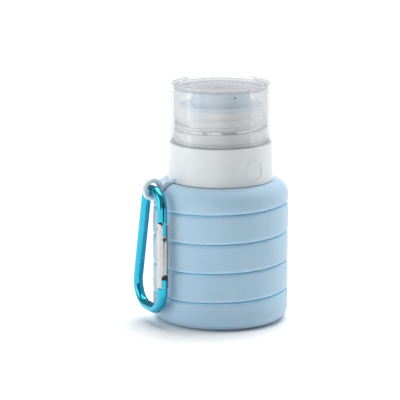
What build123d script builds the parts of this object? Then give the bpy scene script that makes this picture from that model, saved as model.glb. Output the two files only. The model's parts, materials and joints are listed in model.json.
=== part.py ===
from build123d import *
import math
import os

# Folding silicone water bottle with a screw cap and a carabiner, standing folded down.
# Lengths are in millimetres. The origin is on the bottle's axis at its underside, +Z is up,
# and -Y is the front. The soft body is a base cup, three bands and a shoulder, with a thin web
# folded inwards behind each of the four grooves.

# Silicone body
BODY_RADIUS = 37.0
BODY_WALL = 2.5
BAND_PITCH = 16.0
GROOVE_GAP = 0.2
LIP_RADIUS = 1.1
BASE_FLOOR = 3.0
BASE_EDGE_RADIUS = 7.0
BASE_INNER_RADIUS = 5.0
BASE_RECESS_INNER = 14.0
BASE_RECESS_OUTER = 23.0
BASE_RECESS_DEPTH = 0.8
SHOULDER_TOP = 77.1
SHOULDER_RADIUS = 8.6
SLEEVE_INNER = 21.6
SLEEVE_OUTER = 24.4
SLEEVE_TOP = 95.0

# Fold webs, each a V that points inwards
WEB_OUTER = BODY_RADIUS - BODY_WALL - 0.05
WEB_CREASE = 22.0
WEB_HALF_HEIGHT = 2.6
WEB_HALF_THICKNESS = 0.47
WEB_TIP = 0.6
WEB_NOTCH_RADIUS = 0.8

# Rigid neck with its outside thread
NECK_BORE = 19.5
NECK_LOWER_RADIUS = 21.5
NECK_UPPER_RADIUS = 23.2
NECK_FLANGE_RADIUS = 25.0
NECK_FLANGE_THICKNESS = 2.1
NECK_BOTTOM = 72.4
NECK_STEP = 95.2
NECK_TOP = 117.0
NECK_EDGE = 0.5

# Thread shared by the neck and the cap
THREAD_PITCH = 4.0
RIDGE_ROOT_HALF = 0.9
RIDGE_CREST_HALF = 0.4
RIDGE_SINK = 0.3
NECK_RIDGE_HEIGHT = 1.1
NECK_RIDGE_START = 105.5
NECK_RIDGE_TURNS = 2.0
CAP_RIDGE_HEIGHT = 1.4
CAP_RIDGE_TURNS = 1.5
RIDGE_AZIMUTH = 45.0

# Outer collar
COLLAR_BOTTOM = 77.3
COLLAR_TOP = 98.0
COLLAR_BOTTOM_RADIUS = 28.5
COLLAR_TOP_RADIUS = 28.0
COLLAR_BORE = 26.3
COLLAR_FLANGE_BORE = 23.5
COLLAR_FLANGE_THICKNESS = 1.8
COLLAR_EDGE = 0.7
COLLAR_FOOT_EDGE = 0.3
DISC_MARK_AZIMUTH = -50.0
DISC_MARK_HEIGHT = 85.6
DISC_MARK_RADIUS = 5.8
DISC_MARK_WIDTH = 0.7
DISC_MARK_RELIEF = 0.3

# Clamp ring around the silicone sleeve
CLAMP_LOW = 84.0
CLAMP_HIGH = 91.0
CLAMP_GAP = 0.1
CLAMP_FIT = 0.05

# O-ring at the foot of the thread
O_RING_RADIUS = 24.2
O_RING_WIRE = 0.8

# Drinking spout
SPOUT_RADIUS = 15.5
SPOUT_TOP = 126.0
SPOUT_WALL = 2.0
SPOUT_BORE = 5.0
SPOUT_FLANGE_RADIUS = 22.8
SPOUT_FLANGE_THICKNESS = 1.2
SPOUT_PLUG_BOTTOM = 112.0
SPOUT_BEAD_HEIGHT = 122.0
SPOUT_BEAD_WIRE = 0.7
SPOUT_EDGE = 1.4
VENT_AZIMUTH = -61.0
VENT_HEIGHT = 123.6
VENT_RADIUS = 0.7

# Clear cap
CAP_BOTTOM = 98.25
CAP_TOP = 130.0
CAP_RADIUS = 27.0
CAP_WALL = 1.8
CAP_PLATE_LOW = 127.0
CAP_PLATE_HIGH = 128.4
CAP_RIM_WIDTH = 1.6
CAP_EDGE = 0.6
CAP_INNER_EDGE = 0.4
CAP_NOTCH_WIDTH = 21.0
CAP_SOCKET_RADIUS = 2.1
CAP_SOCKET_DEPTH = 1.0

# Seal under the cap
SEAL_RADIUS = 11.0
SEAL_THICKNESS = 0.75
SEAL_GAP = 0.05
SEAL_PLUG_RADIUS = 4.6
SEAL_PLUG_LENGTH = 3.6
SEAL_STEM_RADIUS = 1.95

# Carry loop, at one azimuth with the carabiner
LOOP_AZIMUTH = 207.0
LOOP_REACH = 41.0
LOOP_HEIGHT = 74.9
LOOP_RING_RADIUS = 4.75
LOOP_RING_WIRE = 1.45
LOOP_ARM_THICKNESS = 2.8
LOOP_ARM_LOW = 72.4
LOOP_ARM_HIGH = 79.0
LOOP_BAND_INNER = 24.5
LOOP_BAND_OUTER = 26.1
LOOP_SLOT_GAP = 0.3

# Carabiner. Places are (across, up): across is towards the gate, from the loop's hole
ROD_RADIUS = 2.65
GATE_ACROSS = 11.5
SPINE_TOP_ACROSS = -6.8
SPINE_BOTTOM_ACROSS = -21.5
FRAME_TOP = 74.4
FRAME_BOTTOM = 9.3
FRAME_CORNER_RADII = (8.5, 6.8, 11.5, 11.5)
GATE_RADIUS = 3.15
GATE_BOTTOM = 23.1
PIVOT_HEIGHT = 55.8
PIVOT_PIN_RADIUS = 1.0
PIVOT_CLEARANCE = 0.05
SHOULDER_GAP = 0.45
TONGUE_THICKNESS = 2.0
TONGUE_WIDTH = 4.6
TONGUE_TAIL = 4.8
FORK_SLOT_WIDTH = 2.4
FORK_SLOT_LOW = 49.0
NOSE_THICKNESS = 3.1
NOSE_BACK = 1.7
NOSE_TOP = 27.6
FRAME_NOSE_END = 22.6
LATCH_SLOT_WIDTH = 3.6
LATCH_SLOT_TOP = 30.8
LATCH_SLOT_BACK = 1.9
GATE_EDGE = 0.4
SPRING_BORE = 1.5
SPRING_COIL_RADIUS = 1.15
SPRING_WIRE = 0.22
SPRING_LOW = 38.3
SPRING_PITCH = 1.35
SPRING_TURNS = 9

SHORT = 0.5
BOTTOM = (Align.CENTER, Align.CENTER, Align.MIN)
OUTWARD = (Align.MIN, Align.CENTER, Align.CENTER)
REARWARD = (Align.CENTER, Align.MIN, Align.CENTER)


def disc(radius, low, high):
    """A solid cylinder on the bottle's axis between two heights."""
    return Pos(0, 0, low) * Cylinder(radius, high - low, align=BOTTOM)


def tube(inner, outer, low, high):
    """A hollow cylinder on the bottle's axis between two heights."""
    return disc(outer, low, high) - disc(inner, low - SHORT, high + SHORT)


def circles(solid, height, radius):
    """The circular edges of a solid at one height and one radius."""
    found = []
    for edge in solid.edges().filter_by(GeomType.CIRCLE):
        if abs(edge.center().Z - height) < 0.01 and abs(edge.radius - radius) < 0.01:
            found.append(edge)
    return found


def at_azimuth(azimuth, reach, height):
    """A point at an azimuth from +X, a distance from the bottle's axis, and a height."""
    angle = math.radians(azimuth)
    return Vector(reach * math.cos(angle), reach * math.sin(angle), height)


def groove_height(number):
    """The height of a groove, counted from 1 at the base."""
    return number * BAND_PITCH


def band(low, high):
    """One silicone band with rounded outer lips."""
    shell = tube(BODY_RADIUS - BODY_WALL, BODY_RADIUS, low, high)
    lips = circles(shell, low, BODY_RADIUS) + circles(shell, high, BODY_RADIUS)
    return fillet(lips, LIP_RADIUS)


def plain_band(number):
    """The band between two grooves."""
    low = groove_height(number) + GROOVE_GAP / 2
    high = groove_height(number + 1) - GROOVE_GAP / 2
    return band(low, high)


def base_cup():
    """The bottom of the body, with a rounded foot and a shallow ring recess under it."""
    high = groove_height(1) - GROOVE_GAP / 2
    outside = disc(BODY_RADIUS, 0, high)
    outside = fillet(circles(outside, 0, BODY_RADIUS), BASE_EDGE_RADIUS)
    outside = fillet(circles(outside, high, BODY_RADIUS), LIP_RADIUS)
    inside = disc(BODY_RADIUS - BODY_WALL, BASE_FLOOR, high + SHORT)
    inside = fillet(circles(inside, BASE_FLOOR, BODY_RADIUS - BODY_WALL), BASE_INNER_RADIUS)
    recess = tube(BASE_RECESS_INNER, BASE_RECESS_OUTER, -SHORT, BASE_RECESS_DEPTH)
    return outside - inside - recess


def shoulder_outside():
    """The outside of the shoulder, without its bore."""
    low = groove_height(4) + GROOVE_GAP / 2
    dome = disc(BODY_RADIUS, low, SHOULDER_TOP)
    dome = fillet(circles(dome, SHOULDER_TOP, BODY_RADIUS), SHOULDER_RADIUS)
    return fillet(circles(dome, low, BODY_RADIUS), LIP_RADIUS)


def shoulder_band():
    """The rounded shoulder and the silicone sleeve that grips the neck."""
    inner_radius = BODY_RADIUS - BODY_WALL
    inner_top = SHOULDER_TOP - BODY_WALL
    inside = disc(inner_radius, groove_height(4) - SHORT, inner_top)
    inside = fillet(circles(inside, inner_top, inner_radius), SHOULDER_RADIUS - BODY_WALL)
    sleeve = disc(SLEEVE_OUTER, inner_top, SLEEVE_TOP)
    bore = disc(SLEEVE_INNER, inner_top - SHORT, SLEEVE_TOP + SHORT)
    return shoulder_outside() - inside + sleeve - bore


def fold_web(number):
    """A thin web folded inwards behind a groove."""
    edge_low = WEB_HALF_HEIGHT - WEB_HALF_THICKNESS
    edge_high = WEB_HALF_HEIGHT + WEB_HALF_THICKNESS
    slope = WEB_HALF_HEIGHT / (WEB_OUTER - WEB_CREASE)
    notch = WEB_CREASE + WEB_HALF_THICKNESS / slope
    half = [
        (notch, 0),
        (WEB_OUTER, edge_low),
        (WEB_OUTER, edge_high),
        (WEB_CREASE, WEB_HALF_THICKNESS),
        (WEB_CREASE - WEB_TIP, 0),
    ]
    mirrored = [(radius, -height) for radius, height in half[3:0:-1]]
    outline = make_face(Polyline(half + mirrored, close=True))
    notch_corner = outline.vertices().sort_by_distance((notch, 0, 0))[0]
    outline = fillet(notch_corner, WEB_NOTCH_RADIUS)
    return Pos(0, 0, groove_height(number)) * revolve(Plane.XZ * outline, Axis.Z)


def thread_ridge(radius, height, turns, start_z, outward):
    """A helical ridge with a trapezoid section, standing out of or into a round wall."""
    direction = 1 if outward else -1
    path = Helix(THREAD_PITCH, THREAD_PITCH * turns, radius)
    section_plane = Plane(path @ 0, x_dir=(direction, 0, 0), z_dir=path % 0)
    outline = Polyline(
        (-RIDGE_SINK, -RIDGE_ROOT_HALF),
        (height, -RIDGE_CREST_HALF),
        (height, RIDGE_CREST_HALF),
        (-RIDGE_SINK, RIDGE_ROOT_HALF),
        close=True,
    )
    ridge = sweep(section_plane * make_face(outline), path=path, is_frenet=True)
    return Pos(0, 0, start_z) * Rot(0, 0, RIDGE_AZIMUTH) * ridge


def threaded_neck():
    """The rigid neck: a flange under the shoulder, a stepped tube and the outside thread."""
    lower = disc(NECK_LOWER_RADIUS, NECK_BOTTOM, NECK_STEP)
    flange = disc(NECK_FLANGE_RADIUS, NECK_BOTTOM, NECK_BOTTOM + NECK_FLANGE_THICKNESS)
    upper = disc(NECK_UPPER_RADIUS, NECK_STEP, NECK_TOP)
    upper = fillet(circles(upper, NECK_TOP, NECK_UPPER_RADIUS), NECK_EDGE)
    bore = disc(NECK_BORE, NECK_BOTTOM - SHORT, NECK_TOP + SHORT)
    ridge = thread_ridge(NECK_UPPER_RADIUS, NECK_RIDGE_HEIGHT, NECK_RIDGE_TURNS, NECK_RIDGE_START, True)
    return lower + flange + upper - bore + ridge


def neck_clamp_ring():
    """The hard ring that squeezes the silicone sleeve onto the neck."""
    return tube(SLEEVE_OUTER + CLAMP_FIT, COLLAR_BORE - CLAMP_GAP, CLAMP_LOW, CLAMP_HIGH)


def neck_o_ring():
    """The sealing ring inside the cap's rim."""
    return Pos(0, 0, COLLAR_TOP + O_RING_WIRE) * Torus(O_RING_RADIUS, O_RING_WIRE)


def disc_mark():
    """A plain raised circle on the collar's wall."""
    height = COLLAR_TOP - COLLAR_BOTTOM
    outside = Cone(
        COLLAR_BOTTOM_RADIUS + DISC_MARK_RELIEF,
        COLLAR_TOP_RADIUS + DISC_MARK_RELIEF,
        height,
        align=BOTTOM,
    )
    skin = Pos(0, 0, COLLAR_BOTTOM) * outside - disc(COLLAR_BORE + SHORT, COLLAR_BOTTOM, COLLAR_TOP)
    outward = at_azimuth(DISC_MARK_AZIMUTH, 1, 0)
    facing = Plane(origin=(0, 0, DISC_MARK_HEIGHT), z_dir=outward)
    ring = Circle(DISC_MARK_RADIUS) - Circle(DISC_MARK_RADIUS - DISC_MARK_WIDTH)
    return skin & extrude(facing * ring, COLLAR_BOTTOM_RADIUS + SHORT)


def loop_slot():
    """The slot in the collar's foot that lets the carry loop's arm out."""
    width = LOOP_ARM_THICKNESS + LOOP_SLOT_GAP
    height = LOOP_ARM_HIGH + LOOP_SLOT_GAP - COLLAR_BOTTOM
    block = Box(COLLAR_BOTTOM_RADIUS + SHORT, width, 2 * height, align=OUTWARD)
    return Pos(0, 0, COLLAR_BOTTOM) * Rot(0, 0, LOOP_AZIMUTH) * block


def collar_shell():
    """The white collar with an inward flange at its top."""
    height = COLLAR_TOP - COLLAR_BOTTOM
    cone = Cone(COLLAR_BOTTOM_RADIUS, COLLAR_TOP_RADIUS, height, align=BOTTOM)
    outside = Pos(0, 0, COLLAR_BOTTOM) * cone
    outside = fillet(circles(outside, COLLAR_TOP, COLLAR_TOP_RADIUS), COLLAR_EDGE)
    outside = fillet(circles(outside, COLLAR_BOTTOM, COLLAR_BOTTOM_RADIUS), COLLAR_FOOT_EDGE)
    bore = disc(COLLAR_BORE, COLLAR_BOTTOM - SHORT, COLLAR_TOP - COLLAR_FLANGE_THICKNESS)
    top_hole = disc(COLLAR_FLANGE_BORE, COLLAR_BOTTOM, COLLAR_TOP + SHORT)
    return outside + disc_mark() - bore - top_hole - loop_slot()


def drinking_spout():
    """The soft spout: a plug in the neck, a flange on its rim and a short drinking tube."""
    flange_top = NECK_TOP + SPOUT_FLANGE_THICKNESS
    plug = disc(NECK_BORE - SEAL_GAP, SPOUT_PLUG_BOTTOM, NECK_TOP)
    flange = disc(SPOUT_FLANGE_RADIUS, NECK_TOP, flange_top)
    column = disc(SPOUT_RADIUS, NECK_TOP, SPOUT_TOP)
    column = fillet(circles(column, SPOUT_TOP, SPOUT_RADIUS), SPOUT_EDGE)
    bead = Pos(0, 0, SPOUT_BEAD_HEIGHT) * Torus(SPOUT_RADIUS, SPOUT_BEAD_WIRE)
    inside = disc(SPOUT_RADIUS - SPOUT_WALL, SPOUT_PLUG_BOTTOM - SHORT, SPOUT_TOP - SPOUT_WALL)
    mouth = disc(SPOUT_BORE, NECK_TOP, SPOUT_TOP + SHORT)
    outward = at_azimuth(VENT_AZIMUTH, 1, 0)
    vent_plane = Plane(origin=(0, 0, VENT_HEIGHT), z_dir=outward)
    vent = extrude(vent_plane * Circle(VENT_RADIUS), SPOUT_RADIUS + SHORT)
    return plug + flange + column + bead - inside - mouth - vent


def cap_shell():
    """The clear cap, with its inside thread, a raised rim and a gap in the rim at the back."""
    inner_radius = CAP_RADIUS - CAP_WALL
    outside = disc(CAP_RADIUS, CAP_BOTTOM, CAP_TOP)
    outside = fillet(circles(outside, CAP_TOP, CAP_RADIUS), CAP_EDGE)
    inside = disc(inner_radius, CAP_BOTTOM - SHORT, CAP_PLATE_LOW)
    outside = fillet(circles(outside, CAP_BOTTOM, CAP_RADIUS), CAP_INNER_EDGE)
    rim_radius = CAP_RADIUS - CAP_RIM_WIDTH
    outside = outside - disc(rim_radius, CAP_PLATE_HIGH, CAP_TOP + SHORT)
    outside = fillet(circles(outside, CAP_TOP, rim_radius), CAP_INNER_EDGE)
    outside = fillet(circles(outside, CAP_PLATE_HIGH, rim_radius), CAP_INNER_EDGE)
    notch_depth = CAP_TOP - CAP_PLATE_HIGH
    notch = Box(CAP_NOTCH_WIDTH, CAP_RADIUS + SHORT, 2 * notch_depth, align=REARWARD)
    socket = disc(CAP_SOCKET_RADIUS, CAP_PLATE_LOW - SHORT, CAP_PLATE_LOW + CAP_SOCKET_DEPTH)
    start = NECK_RIDGE_START - THREAD_PITCH / 2
    ridge = thread_ridge(inner_radius, CAP_RIDGE_HEIGHT, CAP_RIDGE_TURNS, start, False)
    return outside - inside - Pos(0, 0, CAP_TOP) * notch - socket + ridge


def cap_seal():
    """The soft seal under the cap: a disc on a stem, with a plug that shuts the spout."""
    top = CAP_PLATE_LOW - SEAL_GAP
    low = top - SEAL_THICKNESS
    stem = disc(SEAL_STEM_RADIUS, top, CAP_PLATE_LOW + CAP_SOCKET_DEPTH - SEAL_GAP)
    plug = disc(SEAL_PLUG_RADIUS, low - SEAL_PLUG_LENGTH, low)
    plug = fillet(circles(plug, low - SEAL_PLUG_LENGTH, SEAL_PLUG_RADIUS), SHORT)
    return disc(SEAL_RADIUS, low, top) + stem + plug


def carry_loop():
    """The soft ring that the carabiner hangs in, on an arm from a band under the collar."""
    band_low = SHOULDER_TOP
    around_neck = tube(LOOP_BAND_INNER, LOOP_BAND_OUTER, band_low, LOOP_ARM_HIGH)
    arm_length = LOOP_REACH - LOOP_RING_RADIUS - LOOP_BAND_INNER
    arm_height = LOOP_ARM_HIGH - LOOP_ARM_LOW
    arm = Box(arm_length, LOOP_ARM_THICKNESS, arm_height, align=OUTWARD)
    arm = Pos(LOOP_BAND_INNER, 0, LOOP_ARM_LOW + arm_height / 2) * arm
    arm = arm - disc(LOOP_BAND_INNER, LOOP_ARM_LOW, LOOP_ARM_HIGH)
    ring = Pos(LOOP_REACH, 0, LOOP_HEIGHT) * Rot(90, 0, 0) * Torus(LOOP_RING_RADIUS, LOOP_RING_WIRE)
    hole = Pos(LOOP_REACH, 0, LOOP_HEIGHT) * Rot(90, 0, 0) * Cylinder(
        LOOP_RING_RADIUS - LOOP_RING_WIRE, LOOP_ARM_THICKNESS + 1
    )
    return around_neck + Rot(0, 0, LOOP_AZIMUTH) * (arm - hole + ring) - shoulder_outside()


def carabiner_plane():
    """The carabiner's own plane: x across towards the gate, y up, z away from the bottle."""
    across = at_azimuth(LOOP_AZIMUTH + 90, 1, 0)
    outward = at_azimuth(LOOP_AZIMUTH, 1, 0)
    return Plane(origin=at_azimuth(LOOP_AZIMUTH, LOOP_REACH, 0), x_dir=across, z_dir=outward)


def through_plate(outline, thickness):
    """A flat piece of one thickness, centred on the carabiner's plane."""
    return extrude(carabiner_plane() * outline, thickness / 2, both=True)


def upright_rod(across, radius, low, high):
    """A round rod that stands upright in the carabiner's plane."""
    foot = carabiner_plane().from_local_coords((across, low, 0))
    return Pos(foot.X, foot.Y, low) * Cylinder(radius, high - low, align=BOTTOM)


def pivot_disc(radius, thickness):
    """A disc about the gate's pivot, square to the carabiner's plane."""
    return through_plate(Pos(GATE_ACROSS, PIVOT_HEIGHT) * Circle(radius), thickness)


def rectangle(left, right, low, high):
    """A rectangle in the carabiner's plane, by its four sides."""
    return Pos((left + right) / 2, (low + high) / 2) * Rectangle(right - left, high - low)


def carabiner_frame():
    """The bent rod, with a flat tongue at the pivot and a flat nose at the latch."""
    rod_end = PIVOT_HEIGHT + GATE_RADIUS + SHOULDER_GAP
    route = FilletPolyline(
        (GATE_ACROSS, rod_end),
        (GATE_ACROSS, FRAME_TOP),
        (SPINE_TOP_ACROSS, FRAME_TOP),
        (SPINE_BOTTOM_ACROSS, FRAME_BOTTOM),
        (GATE_ACROSS, FRAME_BOTTOM),
        (GATE_ACROSS, FRAME_NOSE_END),
        radius=FRAME_CORNER_RADII,
    )
    route = carabiner_plane() * route
    section = Plane(route @ 0, z_dir=route % 0) * Circle(ROD_RADIUS)
    rod = sweep(section, path=route)

    half_width = TONGUE_WIDTH / 2
    blade = rectangle(GATE_ACROSS - half_width, GATE_ACROSS + half_width, PIVOT_HEIGHT, rod_end + SHORT)
    tail = rectangle(
        GATE_ACROSS - half_width, GATE_ACROSS + half_width, PIVOT_HEIGHT - TONGUE_TAIL, PIVOT_HEIGHT + SHORT
    )
    rounded_tail = tail & Pos(GATE_ACROSS, PIVOT_HEIGHT) * Circle(TONGUE_TAIL)
    tongue = through_plate(blade + rounded_tail, TONGUE_THICKNESS)
    pin_hole = pivot_disc(PIVOT_PIN_RADIUS + PIVOT_CLEARANCE, 2 * TONGUE_THICKNESS)

    nose = through_plate(
        rectangle(GATE_ACROSS - NOSE_BACK, GATE_ACROSS + ROD_RADIUS, FRAME_NOSE_END - SHORT, NOSE_TOP),
        NOSE_THICKNESS,
    )
    nose = nose & upright_rod(GATE_ACROSS, ROD_RADIUS, FRAME_BOTTOM, NOSE_TOP)
    return rod + tongue + nose - pin_hole


def carabiner_gate():
    """The gate: a round bar, forked over the tongue and slotted over the nose."""
    top = PIVOT_HEIGHT + GATE_RADIUS
    bar = upright_rod(GATE_ACROSS, GATE_RADIUS, GATE_BOTTOM, top)
    bar = fillet(circles(bar, GATE_BOTTOM, GATE_RADIUS), GATE_EDGE)
    square_end = through_plate(
        rectangle(GATE_ACROSS - GATE_RADIUS, GATE_ACROSS + GATE_RADIUS, PIVOT_HEIGHT, top + SHORT),
        2 * GATE_RADIUS,
    )
    bar = bar - (square_end - pivot_disc(GATE_RADIUS, 2 * GATE_RADIUS))

    past_side = GATE_RADIUS + SHORT
    fork_centre = FORK_SLOT_LOW + FORK_SLOT_WIDTH / 2
    fork = through_plate(
        rectangle(GATE_ACROSS - past_side, GATE_ACROSS + past_side, fork_centre, top + SHORT),
        FORK_SLOT_WIDTH,
    )
    fork += arch_across(FORK_SLOT_WIDTH, fork_centre, -past_side)
    latch_centre = LATCH_SLOT_TOP - LATCH_SLOT_WIDTH / 2
    latch = through_plate(
        rectangle(GATE_ACROSS - LATCH_SLOT_BACK, GATE_ACROSS + past_side, GATE_BOTTOM - SHORT, latch_centre),
        LATCH_SLOT_WIDTH,
    )
    latch += arch_across(LATCH_SLOT_WIDTH, latch_centre, -LATCH_SLOT_BACK)
    spring_bore = upright_rod(GATE_ACROSS, SPRING_BORE, SPRING_LOW - SPRING_WIRE, fork_centre)
    return bar - fork - latch - spring_bore - pivot_disc(PIVOT_PIN_RADIUS, 3 * GATE_RADIUS)


def arch_across(width, height, back):
    """The round end of a slot that runs across the gate, from behind its axis to its front."""
    start = carabiner_plane().from_local_coords((GATE_ACROSS + back, height, 0))
    facing = Plane(origin=start, z_dir=at_azimuth(LOOP_AZIMUTH + 90, 1, 0))
    return extrude(facing * Circle(width / 2), GATE_RADIUS + SHORT - back)


def gate_pivot_pin():
    """The rivet that the gate turns on."""
    return pivot_disc(PIVOT_PIN_RADIUS, 2 * GATE_RADIUS - GATE_EDGE)


def gate_spring():
    """The coil spring inside the gate, which pushes on the tongue's tail."""
    path = Helix(SPRING_PITCH, SPRING_PITCH * SPRING_TURNS, SPRING_COIL_RADIUS)
    section = Plane(path @ 0, z_dir=path % 0) * Circle(SPRING_WIRE)
    coil = sweep(section, path=path, is_frenet=True)
    foot = carabiner_plane().from_local_coords((GATE_ACROSS, SPRING_LOW, 0))
    return Pos(foot.X, foot.Y, SPRING_LOW) * coil


nodes = {
    "base_cup": base_cup(),
    "band_lower": plain_band(1),
    "band_middle": plain_band(2),
    "band_upper": plain_band(3),
    "shoulder_band": shoulder_band(),
    "fold_web_1": fold_web(1),
    "fold_web_2": fold_web(2),
    "fold_web_3": fold_web(3),
    "fold_web_4": fold_web(4),
    "threaded_neck": threaded_neck(),
    "neck_clamp_ring": neck_clamp_ring(),
    "neck_o_ring": neck_o_ring(),
    "collar_shell": collar_shell(),
    "carry_loop": carry_loop(),
    "drinking_spout": drinking_spout(),
    "cap_shell": cap_shell(),
    "cap_seal": cap_seal(),
    "carabiner_frame": carabiner_frame(),
    "carabiner_gate": carabiner_gate(),
    "gate_pivot_pin": gate_pivot_pin(),
    "gate_spring": gate_spring(),
}

os.makedirs("parts", exist_ok=True)
for name, shape in nodes.items():
    export_step(shape, f"parts/{name}.step")
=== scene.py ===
import bpy
import bmesh
import json
import math
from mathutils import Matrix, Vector, noise


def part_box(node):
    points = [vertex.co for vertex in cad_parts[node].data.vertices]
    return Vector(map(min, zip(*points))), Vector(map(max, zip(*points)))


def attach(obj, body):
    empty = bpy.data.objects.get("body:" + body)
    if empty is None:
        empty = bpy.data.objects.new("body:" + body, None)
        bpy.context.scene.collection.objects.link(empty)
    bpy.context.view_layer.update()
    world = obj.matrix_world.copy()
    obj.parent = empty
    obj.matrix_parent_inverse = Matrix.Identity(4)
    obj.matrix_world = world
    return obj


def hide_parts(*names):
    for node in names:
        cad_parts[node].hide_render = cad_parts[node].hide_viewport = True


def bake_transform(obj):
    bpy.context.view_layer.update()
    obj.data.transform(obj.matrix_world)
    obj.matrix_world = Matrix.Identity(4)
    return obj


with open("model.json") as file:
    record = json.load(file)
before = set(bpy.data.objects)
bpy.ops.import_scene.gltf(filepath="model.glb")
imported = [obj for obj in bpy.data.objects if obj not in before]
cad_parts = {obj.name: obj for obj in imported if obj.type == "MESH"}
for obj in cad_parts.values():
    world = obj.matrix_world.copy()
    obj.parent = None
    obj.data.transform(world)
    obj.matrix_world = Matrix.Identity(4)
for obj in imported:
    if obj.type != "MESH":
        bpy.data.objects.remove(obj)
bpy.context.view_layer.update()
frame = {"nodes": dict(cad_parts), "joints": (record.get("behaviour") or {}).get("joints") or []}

# Folding silicone water bottle. Lengths are in metres, +Z is up and -Y is the front.
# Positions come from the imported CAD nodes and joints; the sizes below are the pieces' own.

# Fineness of the turned meshes
SEGMENTS = 192
ARC_STEPS = 7
RUN_STEP = 0.0011
MERGE_DISTANCE = 1e-7

# Silicone body
BODY_WALL = 0.0025
LIP_RADIUS = 0.0018
INNER_EDGE = 0.0003
BASE_FLOOR = 0.003
BASE_EDGE_RADIUS = 0.007
BASE_INNER_RADIUS = 0.005
BASE_RECESS_INNER = 0.014
BASE_RECESS_OUTER = 0.023
BASE_RECESS_DEPTH = 0.0008
SHOULDER_TOP = 0.0771
SHOULDER_RADIUS = 0.0086
SLEEVE_OUTER = 0.0244
SLEEVE_INNER = 0.0216
SLEEVE_EDGE = 0.0004
BAND_CROWN = 0.00015
# How far in from the band's outside the painted groove shade starts
CREASE_DEPTH = 0.0005

# How the soft body leans, with the heights between which it leans in full
GROOVE_TILT = 0.030
TILT_FULL_ABOVE = 0.012
TILT_FULL_BELOW = 0.066

# How uneven the body is beyond a radius that leaves out the sleeve. The shift turns most of it inwards.
UNEVEN_SIZE = 0.022
UNEVEN_DEPTH = 0.00022
UNEVEN_SHIFT = 0.5
UNEVEN_BEYOND = 0.03

# Fold webs
WEB_CREASE = 0.022
WEB_HALF_HEIGHT = 0.0026
WEB_HALF_THICKNESS = 0.00047
WEB_NOTCH_RADIUS = 0.0008
WEB_CREASE_RADIUS = 0.0006
WEB_STEP = 0.0004

# Carry loop: a wire ring, the arm that rests on the shoulder's curve, and the band under the collar
LOOP_RING_RADIUS = 0.00475
LOOP_RING_WIRE = 0.00145
LOOP_RING_SEGMENTS = 72
LOOP_WIRE_SEGMENTS = 28
LOOP_RISE = 0.0005
LOOP_ARM_THICKNESS = 0.0030
LOOP_ARM_TOP = 0.0792
LOOP_ARM_SLOPE_LENGTH = 0.0025
LOOP_ARM_SLOPE_DROP = 0.0006
LOOP_ARM_CURVE_POINTS = 9
LOOP_ARM_CURVE_DEGREES = 6
LOOP_BAND_INNER = 0.0245
LOOP_BAND_OUTER = 0.0261
LOOP_GAP = 0.00012
LOOP_VOXEL = 0.00022
LOOP_SMOOTHING = 5

# Variation in every material
NOISE_LOW = 0.3
NOISE_HIGH = 0.7
NOISE_ROUGHNESS = 0.5
PATCH_DETAIL = 5.0
PATCH_ROUGHNESS = 0.6
GLOSS_DETAIL = 4.0
GLOSS_FINER = 3.3
GRAIN_DETAIL = 3.0

# Clear cap: its wall and the ridges inside it, then how milky, shaded and glossy each is
CAP_WALL = 0.0018
CAP_RIDGE_START = 0.00015
CAP_RIDGE_BLEND = 0.0005
CAP_RIDGE_DEPTH = 0.0015
CAP_WALL_MILK = 0.21
CAP_INNER_MILK = 0.55
CAP_EDGE_BLEND = 0.25
CAP_EDGE_TINT = (0.88, 0.90, 0.92, 1)
CAP_EDGE_SHADE = (0.68, 0.70, 0.73, 1)
CAP_RIDGE_GLOSS = 0.55
CAP_IOR = 1.49
CAP_GLOSS = 0.40
CAP_GLOSS_ROUGHNESS = 0.15

# Camera and floor
CAMERA_SIDE = -0.0112
CAMERA_BACK = 1.3
CAMERA_HEIGHT = 0.345
CAMERA_AIM_HEIGHT = 0.065
CAMERA_LENS = 219.8
FLOOR_SIZE = 12.0

# Light from all round and from a wide sun overhead
WORLD_COLOUR = (1, 1, 1, 1)
WORLD_STRENGTH = 0.30
SUN_DIRECTION = (-0.09, -0.34, -1)
SUN_STRENGTH = 3.3
SUN_WIDTH = math.radians(58)

# Soft boxes: place, aim, width, height and power in watts
SOFT_BOXES = {
    "left_fill": ((-0.9, -0.35, 0.35), (0, 0, 0.06), 0.7, 0.7, 2.8),
    "right_rim": ((0.8, 0.30, 0.35), (0, 0, 0.06), 0.4, 0.6, 1.2),
}

# Dark cards: place, aim, width, height and whether they shade soft surfaces
DARK_CARDS = {
    "flag_right": ((0.14, -0.28, 0.12), (0, 0, 0.09), 0.20, 0.24, True),
    "flag_left": ((-0.30, -0.34, 0.05), (-0.05, 0, 0.05), 0.12, 0.30, False),
    "flag_front": ((0.06, -0.18, 0.04), (-0.03, 0, 0.04), 0.12, 0.10, False),
}


def node_radius(node):
    """Half the width of a round CAD node on the bottle's axis."""
    low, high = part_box(node)
    return (high.y - low.y) / 2


def fillet_points(before, corner, after, fillet):
    """Points along the arc that rounds a corner between its two neighbours."""
    to_before = (before - corner).normalized()
    to_after = (after - corner).normalized()
    half_angle = to_before.angle(to_after) / 2
    centre = corner + (to_before + to_after).normalized() * fillet / math.sin(half_angle)
    first = corner + to_before * fillet / math.tan(half_angle) - centre
    last = corner + to_after * fillet / math.tan(half_angle) - centre
    return [centre + first.slerp(last, step / ARC_STEPS) * fillet for step in range(ARC_STEPS + 1)]


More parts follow.
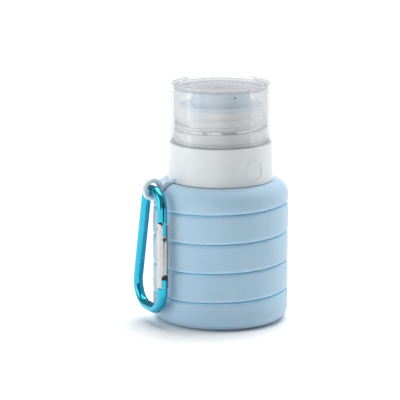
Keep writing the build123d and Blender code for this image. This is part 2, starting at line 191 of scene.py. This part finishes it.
def rounded_outline(corners, step, closed=True):
    """Points along an outline of (radius, height, fillet) corners, with arcs and no run longer than step."""
    places = [Vector(corner[:2]) for corner in corners]
    fillets = [corner[2] for corner in corners]
    points = []
    for index, (place, fillet) in enumerate(zip(places, fillets)):
        if fillet == 0:
            points.append(place)
        else:
            following = places[(index + 1) % len(places)]
            points.extend(fillet_points(places[index - 1], place, following, fillet))
    fine = []
    runs = len(points) if closed else len(points) - 1
    for index in range(runs):
        start = points[index]
        run = points[(index + 1) % len(points)] - start
        parts = max(1, math.ceil(run.length / step))
        for part in range(parts):
            fine.append(start + run * part / parts)
    if not closed:
        fine.append(points[-1])
    return fine


def add_object(name, data):
    """An object in the scene for a mesh, a light or a camera."""
    made = bpy.data.objects.new(name, data)
    bpy.context.scene.collection.objects.link(made)
    return made


def new_piece(name, mesh):
    """A smooth-shaded object made from a bmesh."""
    bmesh.ops.remove_doubles(mesh, verts=mesh.verts, dist=MERGE_DISTANCE)
    bmesh.ops.recalc_face_normals(mesh, faces=mesh.faces)
    data = bpy.data.meshes.new(name)
    mesh.to_mesh(data)
    mesh.free()
    data.shade_smooth()
    return add_object(name, data)


def join_rings(mesh, rings, closed):
    """Adds the faces between each row of points and the next, all the way round."""
    for index, here in enumerate(rings):
        there = rings[(index + 1) % len(rings)]
        runs = len(here) if closed else len(here) - 1
        for run in range(runs):
            after = (run + 1) % len(here)
            mesh.faces.new((here[run], there[run], there[after], here[after]))


def lathe(mesh, outline, closed=True):
    """Turns an outline about the bottle's axis and adds it to a bmesh."""
    rings = []
    for segment in range(SEGMENTS):
        angle = 2 * math.pi * segment / SEGMENTS
        ring = []
        for radius, height in outline:
            ring.append(mesh.verts.new((radius * math.cos(angle), radius * math.sin(angle), height)))
        rings.append(ring)
    join_rings(mesh, rings, closed)


def smooth_step(value, low, high):
    """0 below low, 1 above high, and smooth between."""
    share = min(1.0, max(0.0, (value - low) / (high - low)))
    return share * share * (3 - 2 * share)


def lean(point):
    """A point of the soft body when it leans, and how much of the full lean it has."""
    share = smooth_step(point.z, 0.0, TILT_FULL_ABOVE)
    share *= 1 - smooth_step(point.z, TILT_FULL_BELOW, SHOULDER_TOP)
    return Vector((point.x, point.y, point.z + GROOVE_TILT * point.x * share)), share


def shape_soft(mesh, low, high, crowned):
    """Gives a turned body piece the lean, the unevenness of moulded silicone and perhaps a slight crown."""
    middle = (low + high) / 2
    half = (high - low) / 2
    for vertex in mesh.verts:
        place, share = lean(vertex.co)
        radius = math.hypot(place.x, place.y)
        if radius > UNEVEN_BEYOND:
            bulge = UNEVEN_DEPTH * (noise.noise(vertex.co / UNEVEN_SIZE) - UNEVEN_SHIFT) * share
            if crowned:
                bulge -= BAND_CROWN * ((vertex.co.z - middle) / half) ** 2
            factor = (radius + bulge) / radius
            place.x *= factor
            place.y *= factor
        vertex.co = place


def make_band(node):
    """One band of the soft body, from its CAD node's height and radius."""
    low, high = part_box(node)
    outer = node_radius(node)
    inner = outer - BODY_WALL
    corners = [
        (inner, low.z, INNER_EDGE),
        (outer, low.z, LIP_RADIUS),
        (outer, high.z, LIP_RADIUS),
        (inner, high.z, INNER_EDGE),
    ]
    mesh = bmesh.new()
    lathe(mesh, rounded_outline(corners, RUN_STEP))
    shape_soft(mesh, low.z, high.z, True)
    return new_piece("soft_" + node, mesh)


def make_base():
    """The base cup, with its rounded foot and the shallow ring recess under it."""
    low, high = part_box("base_cup")
    outer = node_radius("base_cup")
    inner = outer - BODY_WALL
    corners = [
        (0, 0, 0),
        (BASE_RECESS_INNER, 0, INNER_EDGE),
        (BASE_RECESS_INNER, BASE_RECESS_DEPTH, INNER_EDGE),
        (BASE_RECESS_OUTER, BASE_RECESS_DEPTH, INNER_EDGE),
        (BASE_RECESS_OUTER, 0, INNER_EDGE),
        (outer, 0, BASE_EDGE_RADIUS),
        (outer, high.z, LIP_RADIUS),
        (inner, high.z, INNER_EDGE),
        (inner, BASE_FLOOR, BASE_INNER_RADIUS),
        (0, BASE_FLOOR, 0),
    ]
    mesh = bmesh.new()
    lathe(mesh, rounded_outline(corners, RUN_STEP, closed=False), closed=False)
    shape_soft(mesh, low.z, high.z, False)
    return new_piece("soft_base_cup", mesh)


def make_shoulder():
    """The rounded shoulder with the sleeve that grips the neck."""
    low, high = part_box("shoulder_band")
    outer = node_radius("shoulder_band")
    inner = outer - BODY_WALL
    inner_top = SHOULDER_TOP - BODY_WALL
    corners = [
        (outer, low.z, LIP_RADIUS),
        (outer, SHOULDER_TOP, SHOULDER_RADIUS),
        (SLEEVE_OUTER, SHOULDER_TOP, SLEEVE_EDGE),
        (SLEEVE_OUTER, high.z, SLEEVE_EDGE),
        (SLEEVE_INNER, high.z, SLEEVE_EDGE),
        (SLEEVE_INNER, inner_top, SLEEVE_EDGE),
        (inner, inner_top, SHOULDER_RADIUS - BODY_WALL),
        (inner, low.z, INNER_EDGE),
    ]
    mesh = bmesh.new()
    lathe(mesh, rounded_outline(corners, RUN_STEP))
    shape_soft(mesh, low.z, SHOULDER_TOP, False)
    return new_piece("soft_shoulder_band", mesh)


def make_web(node, groove):
    """A thin web folded inwards behind a groove, with a rounded crease."""
    outer = node_radius(node) + INNER_EDGE
    edge_low = WEB_HALF_HEIGHT - WEB_HALF_THICKNESS
    edge_high = WEB_HALF_HEIGHT + WEB_HALF_THICKNESS
    slope = WEB_HALF_HEIGHT / (outer - WEB_CREASE)
    notch = WEB_CREASE + WEB_HALF_THICKNESS / slope
    crease = WEB_CREASE - WEB_HALF_THICKNESS / slope
    corners = [
        (crease, groove, WEB_CREASE_RADIUS),
        (outer, groove - edge_high, 0),
        (outer, groove - edge_low, 0),
        (notch, groove, WEB_NOTCH_RADIUS),
        (outer, groove + edge_low, 0),
        (outer, groove + edge_high, 0),
    ]
    mesh = bmesh.new()
    lathe(mesh, rounded_outline(corners, WEB_STEP))
    for vertex in mesh.verts:
        vertex.co = lean(vertex.co)[0]
    return new_piece("soft_" + node, mesh)


def joint_named(name):
    """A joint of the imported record."""
    for joint in frame["joints"]:
        if joint["name"] == name:
            return joint
    raise KeyError(name)


def loop_axes():
    """The centre of the loop's hole, the outward direction there and the direction through the hole."""
    pivot = Vector(joint_named("carabiner_swing")["pos_m"])
    outward = Vector((pivot.x, pivot.y, 0)).normalized()
    centre = pivot + Vector((0, 0, LOOP_RISE))
    return centre, outward, Vector((-outward.y, outward.x, 0))


def add_loop_ring(mesh, centre, outward, through):
    """The round wire ring that the carabiner hangs in."""
    rings = []
    for turn in range(LOOP_RING_SEGMENTS):
        turn_angle = 2 * math.pi * turn / LOOP_RING_SEGMENTS
        spoke = outward * math.cos(turn_angle) + Vector((0, 0, math.sin(turn_angle)))
        ring = []
        for step in range(LOOP_WIRE_SEGMENTS):
            wire_angle = 2 * math.pi * step / LOOP_WIRE_SEGMENTS
            offset = spoke * math.cos(wire_angle) + through * math.sin(wire_angle)
            ring.append(mesh.verts.new(centre + spoke * LOOP_RING_RADIUS + offset * LOOP_RING_WIRE))
        rings.append(ring)
    join_rings(mesh, rings, True)


def loop_arm_outline(centre):
    """The arm's outline, as (radius, height) points: out along the shoulder's curve to the ring and back."""
    curve_radius = node_radius("shoulder_band") - SHOULDER_RADIUS
    curve_height = SHOULDER_TOP - SHOULDER_RADIUS
    rest = SHOULDER_RADIUS + LOOP_GAP
    tip = math.hypot(centre.x, centre.y) - LOOP_RING_RADIUS
    outline = [(LOOP_BAND_INNER, SHOULDER_TOP + LOOP_GAP)]
    for point in range(LOOP_ARM_CURVE_POINTS):
        angle = math.radians(90 - LOOP_ARM_CURVE_DEGREES * point)
        outline.append((curve_radius + rest * math.cos(angle), curve_height + rest * math.sin(angle)))
    outline.append((tip, centre.z - LOOP_RING_WIRE))
    outline.append((tip, centre.z + LOOP_RING_WIRE))
    outline.append((tip - LOOP_ARM_SLOPE_LENGTH, LOOP_ARM_TOP - LOOP_ARM_SLOPE_DROP))
    outline.append((LOOP_BAND_INNER, LOOP_ARM_TOP))
    return outline


def add_loop_arm(mesh, centre, outward, through):
    """The flat arm between the ring and the band."""
    outline = loop_arm_outline(centre)
    sides = []
    for side in (-1, 1):
        shift = through * side * LOOP_ARM_THICKNESS / 2
        points = []
        for radius, height in outline:
            points.append(mesh.verts.new(outward * radius + Vector((0, 0, height)) + shift))
        sides.append(points)
    near, far = sides
    mesh.faces.new(near)
    mesh.faces.new(list(reversed(far)))
    for index in range(len(near)):
        after = (index + 1) % len(near)
        mesh.faces.new((near[index], far[index], far[after], near[after]))


def melt(rough):
    """Turns a rough piece into a bmesh, with its parts melted together and smoothed."""
    remesh = rough.modifiers.new("melt", "REMESH")
    remesh.mode = "VOXEL"
    remesh.voxel_size = LOOP_VOXEL
    smooth = rough.modifiers.new("smooth", "SMOOTH")
    smooth.iterations = LOOP_SMOOTHING
    bpy.context.view_layer.update()
    evaluated = rough.evaluated_get(bpy.context.evaluated_depsgraph_get())
    melted = bpy.data.meshes.new_from_object(evaluated)
    bpy.data.objects.remove(rough)
    mesh = bmesh.new()
    mesh.from_mesh(melted)
    bpy.data.meshes.remove(melted)
    return mesh


def make_loop():
    """The soft ring and its arm, melted together, with the band that lies under the collar."""
    centre, outward, through = loop_axes()
    rough = bmesh.new()
    add_loop_ring(rough, centre, outward, through)
    add_loop_arm(rough, centre, outward, through)
    mesh = melt(new_piece("loop_rough", rough))
    band = [
        (LOOP_BAND_INNER, SHOULDER_TOP + LOOP_GAP, INNER_EDGE),
        (LOOP_BAND_OUTER, SHOULDER_TOP + LOOP_GAP, INNER_EDGE),
        (LOOP_BAND_OUTER, LOOP_ARM_TOP, INNER_EDGE),
        (LOOP_BAND_INNER, LOOP_ARM_TOP, INNER_EDGE),
    ]
    lathe(mesh, rounded_outline(band, RUN_STEP))
    return new_piece("soft_carry_loop", mesh)


# ---------------------------------------------------------------- materials


def add_node(tree, kind, **inputs):
    """A shader node with values on its named inputs."""
    made = tree.nodes.new(kind)
    for name, value in inputs.items():
        made.inputs[name].default_value = value
    return made


def map_range(tree, value, start, end, first, last):
    """A value that runs from first to last while another runs from start to end."""
    made = add_node(tree, "ShaderNodeMapRange")
    for name, number in (("From Min", start), ("From Max", end), ("To Min", first), ("To Max", last)):
        made.inputs[name].default_value = number
    tree.links.new(value, made.inputs["Value"])
    return made.outputs["Result"]


def noise_value(tree, scale, detail, roughness=NOISE_ROUGHNESS):
    """Noise that is fixed to the piece, with scale patches to the metre."""
    place = tree.nodes.new("ShaderNodeTexCoord")
    made = add_node(tree, "ShaderNodeTexNoise", Scale=scale, Detail=detail, Roughness=roughness)
    tree.links.new(place.outputs["Object"], made.inputs["Vector"])
    return made.outputs["Fac"]


def finish_material(name, light, dark, roughness, patch, grain, depth, settings):
    """A procedural material: patchy colour, varied roughness and a fine bump.

    light and dark are the two ends of the colour's variation, roughness is a (low, high) pair,
    patch and grain are sizes in metres, depth is the bump's height in metres.
    """
    material = bpy.data.materials.new(name)
    material.use_nodes = True
    tree = material.node_tree
    shader = tree.nodes["Principled BSDF"]
    for socket, value in settings.items():
        shader.inputs[socket].default_value = value

    patches = noise_value(tree, 1 / patch, PATCH_DETAIL, PATCH_ROUGHNESS)
    blend = tree.nodes.new("ShaderNodeMix")
    blend.data_type = "RGBA"
    blend.inputs["A"].default_value = (*dark, 1)
    blend.inputs["B"].default_value = (*light, 1)
    tree.links.new(map_range(tree, patches, NOISE_LOW, NOISE_HIGH, 0.0, 1.0), blend.inputs["Factor"])
    tree.links.new(blend.outputs["Result"], shader.inputs["Base Color"])

    gloss = noise_value(tree, GLOSS_FINER / patch, GLOSS_DETAIL)
    tree.links.new(map_range(tree, gloss, NOISE_LOW, NOISE_HIGH, *roughness), shader.inputs["Roughness"])

    fine = noise_value(tree, 1 / grain, GRAIN_DETAIL)
    bump = add_node(tree, "ShaderNodeBump", Strength=1.0, Distance=depth)
    tree.links.new(fine, bump.inputs["Height"])
    tree.links.new(bump.outputs["Normal"], shader.inputs["Normal"])
    return material


def paint(piece, material):
    """Puts one material on a piece or a CAD node."""
    if piece.material_slots:
        for slot in piece.material_slots:
            slot.material = material
    else:
        piece.data.materials.append(material)


def distance_from_axis(tree):
    """How far a point of the piece is from the bottle's axis."""
    place = tree.nodes.new("ShaderNodeTexCoord")
    flat = tree.nodes.new("ShaderNodeVectorMath")
    flat.operation = "MULTIPLY"
    flat.inputs[1].default_value = (1, 1, 0)
    tree.links.new(place.outputs["Object"], flat.inputs[0])
    reach = tree.nodes.new("ShaderNodeVectorMath")
    reach.operation = "LENGTH"
    tree.links.new(flat.outputs["Vector"], reach.inputs[0])
    return reach.outputs["Value"]


def combine(tree, operation, first, second):
    """A sum, product or other simple result of two values."""
    made = tree.nodes.new("ShaderNodeMath")
    made.operation = operation
    for socket, value in zip(made.inputs, (first, second)):
        if isinstance(value, float):
            socket.default_value = value
        else:
            tree.links.new(value, socket)
    return made.outputs["Value"]


def mix_shaders(tree, share, first, second):
    """A blend of two surfaces."""
    made = tree.nodes.new("ShaderNodeMixShader")
    tree.links.new(share, made.inputs[0])
    tree.links.new(first, made.inputs[1])
    tree.links.new(second, made.inputs[2])
    return made.outputs["Shader"]


def shade_at_edge(tree, socket, shade):
    """Darkens a colour where the surface is seen edge on."""
    grazing = add_node(tree, "ShaderNodeLayerWeight", Blend=CAP_EDGE_BLEND)
    shaded = tree.nodes.new("ShaderNodeMix")
    shaded.data_type = "RGBA"
    shaded.blend_type = "MULTIPLY"
    shaded.inputs["A"].default_value = socket.default_value
    shaded.inputs["B"].default_value = shade
    if socket.is_linked:
        tree.links.new(socket.links[0].from_socket, shaded.inputs["A"])
    tree.links.new(grazing.outputs["Facing"], shaded.inputs["Factor"])
    tree.links.new(shaded.outputs["Result"], socket)


def clear_plastic(material, wall_radius):
    """Makes a milky plastic see-through and glossy, milkier and brighter on the ridges inside its wall."""
    tree = material.node_tree
    milk = tree.nodes["Principled BSDF"]
    bump = milk.inputs["Normal"].links[0].from_socket
    reach = distance_from_axis(tree)
    blend_start = wall_radius - CAP_RIDGE_BLEND
    blend_end = wall_radius - CAP_RIDGE_START
    ridge_tip = wall_radius - CAP_RIDGE_DEPTH
    clear = add_node(tree, "ShaderNodeBsdfTransparent")
    shade_at_edge(tree, clear.inputs["Color"], CAP_EDGE_TINT)
    shade_at_edge(tree, milk.inputs["Base Color"], CAP_EDGE_SHADE)
    cloud = map_range(tree, reach, blend_start, blend_end, CAP_INNER_MILK, CAP_WALL_MILK)
    cloudy = mix_shaders(tree, cloud, clear.outputs["BSDF"], milk.outputs["BSDF"])
    gloss = add_node(tree, "ShaderNodeBsdfGlossy", Roughness=CAP_GLOSS_ROUGHNESS)
    tree.links.new(bump, gloss.inputs["Normal"])
    edge = add_node(tree, "ShaderNodeFresnel", IOR=CAP_IOR)
    tree.links.new(bump, edge.inputs["Normal"])
    edge_gloss = combine(tree, "MULTIPLY", edge.outputs["Fac"], CAP_GLOSS)
    below_wall = map_range(tree, reach, blend_start, blend_end, CAP_RIDGE_GLOSS, 0.0)
    beyond_tip = map_range(tree, reach, ridge_tip - CAP_RIDGE_START, ridge_tip, 0.0, 1.0)
    ridge_gloss = combine(tree, "MULTIPLY", below_wall, beyond_tip)
    share = combine(tree, "MAXIMUM", edge_gloss, ridge_gloss)
    surface = mix_shaders(tree, share, cloudy, gloss.outputs["BSDF"])
    tree.links.new(surface, tree.nodes["Material Output"].inputs["Surface"])


SILICONE = {
    "Subsurface Weight": 0.6,
    "Subsurface Radius": (0.3, 0.7, 1.0),
    "Subsurface Scale": 0.003,
    "Sheen Weight": 0.15,
    "Sheen Roughness": 0.5,
    "Specular IOR Level": 0.35,
}
LOOP_SILICONE = {"Subsurface Weight": 0.5, "Subsurface Scale": 0.002, "IOR": 1.41}
SEAL_SILICONE = {"Subsurface Weight": 0.2, "Subsurface Scale": 0.001}
SPOUT_SILICONE = {"Subsurface Weight": 0.2, "Subsurface Scale": 0.0015}
HARD_PLASTIC = {"Specular IOR Level": 0.5}
MATT_PAPER = {"Specular IOR Level": 0.1}
METAL = {"Metallic": 1.0}
PLAIN = {}

body_silicone = finish_material(
    "body_silicone", light=(0.465, 0.655, 0.81), dark=(0.43, 0.615, 0.77), roughness=(0.48, 0.60),
    patch=0.03, grain=0.0004, depth=0.00002, settings=SILICONE)
# Painted groove shade on the webs: they sit in the grooves and are bluer than the body, standing in for the
# saturated blue shade there
web_groove_shade = finish_material(
    "web_groove_shade", light=(0.41, 0.65, 0.86), dark=(0.38, 0.61, 0.82), roughness=(0.50, 0.65),
    patch=0.02, grain=0.0004, depth=0.00002, settings=SILICONE)
# Painted groove shade: a bluer colour for the faces that curve into the grooves, standing in for the
# saturated blue shade there; the body is one silicone
groove_shade_silicone = finish_material(
    "groove_shade_silicone", light=(0.50, 0.77, 1.0), dark=(0.47, 0.74, 0.98), roughness=(0.50, 0.65),
    patch=0.02, grain=0.0004, depth=0.00002, settings=SILICONE)
loop_silicone = finish_material(
    "loop_silicone", light=(0.74, 0.85, 0.91), dark=(0.68, 0.80, 0.87), roughness=(0.30, 0.42),
    patch=0.008, grain=0.0004, depth=0.00001, settings=LOOP_SILICONE)
collar_plastic = finish_material(
    "collar_plastic", light=(0.79, 0.82, 0.83), dark=(0.76, 0.79, 0.80), roughness=(0.30, 0.40),
    patch=0.02, grain=0.0005, depth=0.00001, settings=HARD_PLASTIC)
# Painted light: the neck's white is lighter than the collar's, making up for the light that the cap keeps
# from it
neck_plastic = finish_material(
    "neck_plastic", light=(0.97, 0.99, 1.0), dark=(0.95, 0.97, 0.99), roughness=(0.22, 0.32),
    patch=0.015, grain=0.0004, depth=0.000008, settings=HARD_PLASTIC)
clamp_plastic = finish_material(
    "clamp_plastic", light=(0.75, 0.75, 0.74), dark=(0.70, 0.70, 0.69), roughness=(0.40, 0.50),
    patch=0.015, grain=0.0004, depth=0.00001, settings=PLAIN)
seal_silicone = finish_material(
    "seal_silicone", light=(0.82, 0.85, 0.87), dark=(0.78, 0.81, 0.83), roughness=(0.40, 0.50),
    patch=0.01, grain=0.0004, depth=0.00001, settings=SEAL_SILICONE)
# Painted light: the spout's pale blue is made lighter, making up for the light that the cap keeps from it
spout_silicone = finish_material(
    "spout_silicone", light=(0.76, 0.90, 1.0), dark=(0.73, 0.88, 1.0), roughness=(0.15, 0.25),
    patch=0.012, grain=0.0004, depth=0.00001, settings=SPOUT_SILICONE)
cap_plastic = finish_material(
    "cap_plastic", light=(0.91, 0.93, 0.95), dark=(0.88, 0.90, 0.92), roughness=(0.22, 0.32),
    patch=0.02, grain=0.0006, depth=0.000002, settings=PLAIN)
clear_plastic(cap_plastic, node_radius("cap_shell") - CAP_WALL)
anodised = finish_material(
    "anodised_aluminium", light=(0.052, 0.46, 0.62), dark=(0.036, 0.40, 0.56), roughness=(0.14, 0.22),
    patch=0.006, grain=0.0003, depth=0.000006, settings=METAL)
gate_metal = finish_material(
    "gate_metal", light=(0.58, 0.58, 0.57), dark=(0.50, 0.50, 0.50), roughness=(0.24, 0.38),
    patch=0.004, grain=0.00025, depth=0.000008, settings=METAL)
pin_steel = finish_material(
    "pin_steel", light=(0.42, 0.42, 0.44), dark=(0.34, 0.34, 0.36), roughness=(0.25, 0.40),
    patch=0.001, grain=0.0002, depth=0.000005, settings=METAL)
spring_steel = finish_material(
    "spring_steel", light=(0.55, 0.55, 0.56), dark=(0.45, 0.45, 0.46), roughness=(0.25, 0.35),
    patch=0.001, grain=0.0001, depth=0.000003, settings=METAL)
floor_paper = finish_material(
    "floor_paper", light=(0.99, 0.99, 0.99), dark=(0.98, 0.98, 0.98), roughness=(0.7, 0.8),
    patch=0.2, grain=0.002, depth=0.00001, settings=MATT_PAPER)
card_paper = finish_material(
    "card_paper", light=(0.03, 0.03, 0.035), dark=(0.02, 0.02, 0.025), roughness=(0.8, 0.9),
    patch=0.1, grain=0.002, depth=0.00001, settings=MATT_PAPER)

# ---------------------------------------------------------------- pieces


def paint_body(piece, node):
    """Paints a body piece, with painted shade in its creases: a bluer colour that stands in for the
    saturated blue shade of the grooves.
    """
    piece.data.materials.append(body_silicone)
    piece.data.materials.append(groove_shade_silicone)
    # The faces that curve into the grooves get the painted groove shade
    crease_radius = node_radius(node) - CREASE_DEPTH
    crease_top = SHOULDER_TOP - SHOULDER_RADIUS + LIP_RADIUS
    for face in piece.data.polygons:
        inside = math.hypot(face.center.x, face.center.y) < crease_radius
        if inside and BASE_EDGE_RADIUS < face.center.z < crease_top:
            face.material_index = 1


BANDS = {"band_lower": "lower_band", "band_middle": "middle_band", "band_upper": "upper_band"}
for node, body in BANDS.items():
    band = make_band(node)
    paint_body(band, node)
    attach(band, body)
    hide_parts(node)

base = make_base()
paint_body(base, "base_cup")
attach(base, "base")
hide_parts("base_cup")

shoulder = make_shoulder()
paint_body(shoulder, "shoulder_band")
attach(shoulder, "neck")
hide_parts("shoulder_band")

# Each web with the bodies below and above it
FOLDS = (
    ("fold_web_1", "base", "lower_band"),
    ("fold_web_2", "lower_band", "middle_band"),
    ("fold_web_3", "middle_band", "upper_band"),
    ("fold_web_4", "upper_band", "neck"),
)
for node, below, above in FOLDS:
    web_low, web_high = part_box(node)
    groove = (web_low.z + web_high.z) / 2
    web = make_web(node, groove)
    paint(web, web_groove_shade)
    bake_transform(web)
    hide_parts(node)

loop = make_loop()
paint(loop, loop_silicone)
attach(loop, "neck")
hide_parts("carry_loop")

CAD_FINISHES = {
    "threaded_neck": neck_plastic,
    "neck_clamp_ring": clamp_plastic,
    "neck_o_ring": seal_silicone,
    "collar_shell": collar_plastic,
    "drinking_spout": spout_silicone,
    "cap_seal": seal_silicone,
    "cap_shell": cap_plastic,
    "carabiner_frame": anodised,
    "carabiner_gate": gate_metal,
    "gate_pivot_pin": pin_steel,
    "gate_spring": spring_steel,
}
for node, material in CAD_FINISHES.items():
    paint(frame["nodes"][node], material)

# ---------------------------------------------------------------- stage, light and camera


def point_at(thing, aim):
    """Turns a light, a card or the camera to face a place."""
    thing.rotation_euler = (Vector(aim) - thing.location).to_track_quat("-Z", "Y").to_euler()


def flat_panel(name, width, height, material):
    """A flat rectangle, lying level about the origin."""
    mesh = bmesh.new()
    sides = ((-1, -1), (1, -1), (1, 1), (-1, 1))
    mesh.faces.new([mesh.verts.new((x * width / 2, y * height / 2, 0)) for x, y in sides])
    panel = new_piece(name, mesh)
    paint(panel, material)
    return panel


def make_floor():
    """A plain pale floor."""
    floor = flat_panel("floor", FLOOR_SIZE, FLOOR_SIZE, floor_paper)


def dark_card(name, place, aim, width, height, shades):
    """A dark panel that the camera doesn't see: it shades soft surfaces, or only shows in glossy ones."""
    card = flat_panel(name, width, height, card_paper)
    card.location = place
    point_at(card, aim)
    card.visible_camera = False
    card.visible_diffuse = shades
    card.visible_shadow = False


def make_world():
    """An even light from all round."""
    world = bpy.data.worlds.new("studio")
    world.use_nodes = True
    background = world.node_tree.nodes["Background"]
    background.inputs["Color"].default_value = WORLD_COLOUR
    background.inputs["Strength"].default_value = WORLD_STRENGTH
    bpy.context.scene.world = world


def make_sun():
    """A wide overhead sun, for the soft shadow on the floor."""
    data = bpy.data.lights.new("overhead", "SUN")
    data.energy = SUN_STRENGTH
    data.angle = SUN_WIDTH
    point_at(add_object("overhead", data), SUN_DIRECTION)


def soft_box(name, place, aim, width, height, power):
    """A rectangular light that points at a place."""
    data = bpy.data.lights.new(name, "AREA")
    data.shape = "RECTANGLE"
    data.size = width
    data.size_y = height
    data.energy = power
    light = add_object(name, data)
    light.location = place
    point_at(light, aim)


def make_camera():
    """A long lens, a little above the bottle and looking slightly down at it."""
    data = bpy.data.cameras.new("camera")
    data.lens = CAMERA_LENS
    camera = add_object("camera", data)
    camera.location = (CAMERA_SIDE, -CAMERA_BACK, CAMERA_HEIGHT)
    point_at(camera, (CAMERA_SIDE, 0, CAMERA_AIM_HEIGHT))
    bpy.context.scene.camera = camera


make_floor()
for name, values in DARK_CARDS.items():
    dark_card(name, *values)
make_world()
make_sun()
for name, values in SOFT_BOXES.items():
    soft_box(name, *values)
make_camera()
bpy.context.scene.view_settings.view_transform = "Standard"
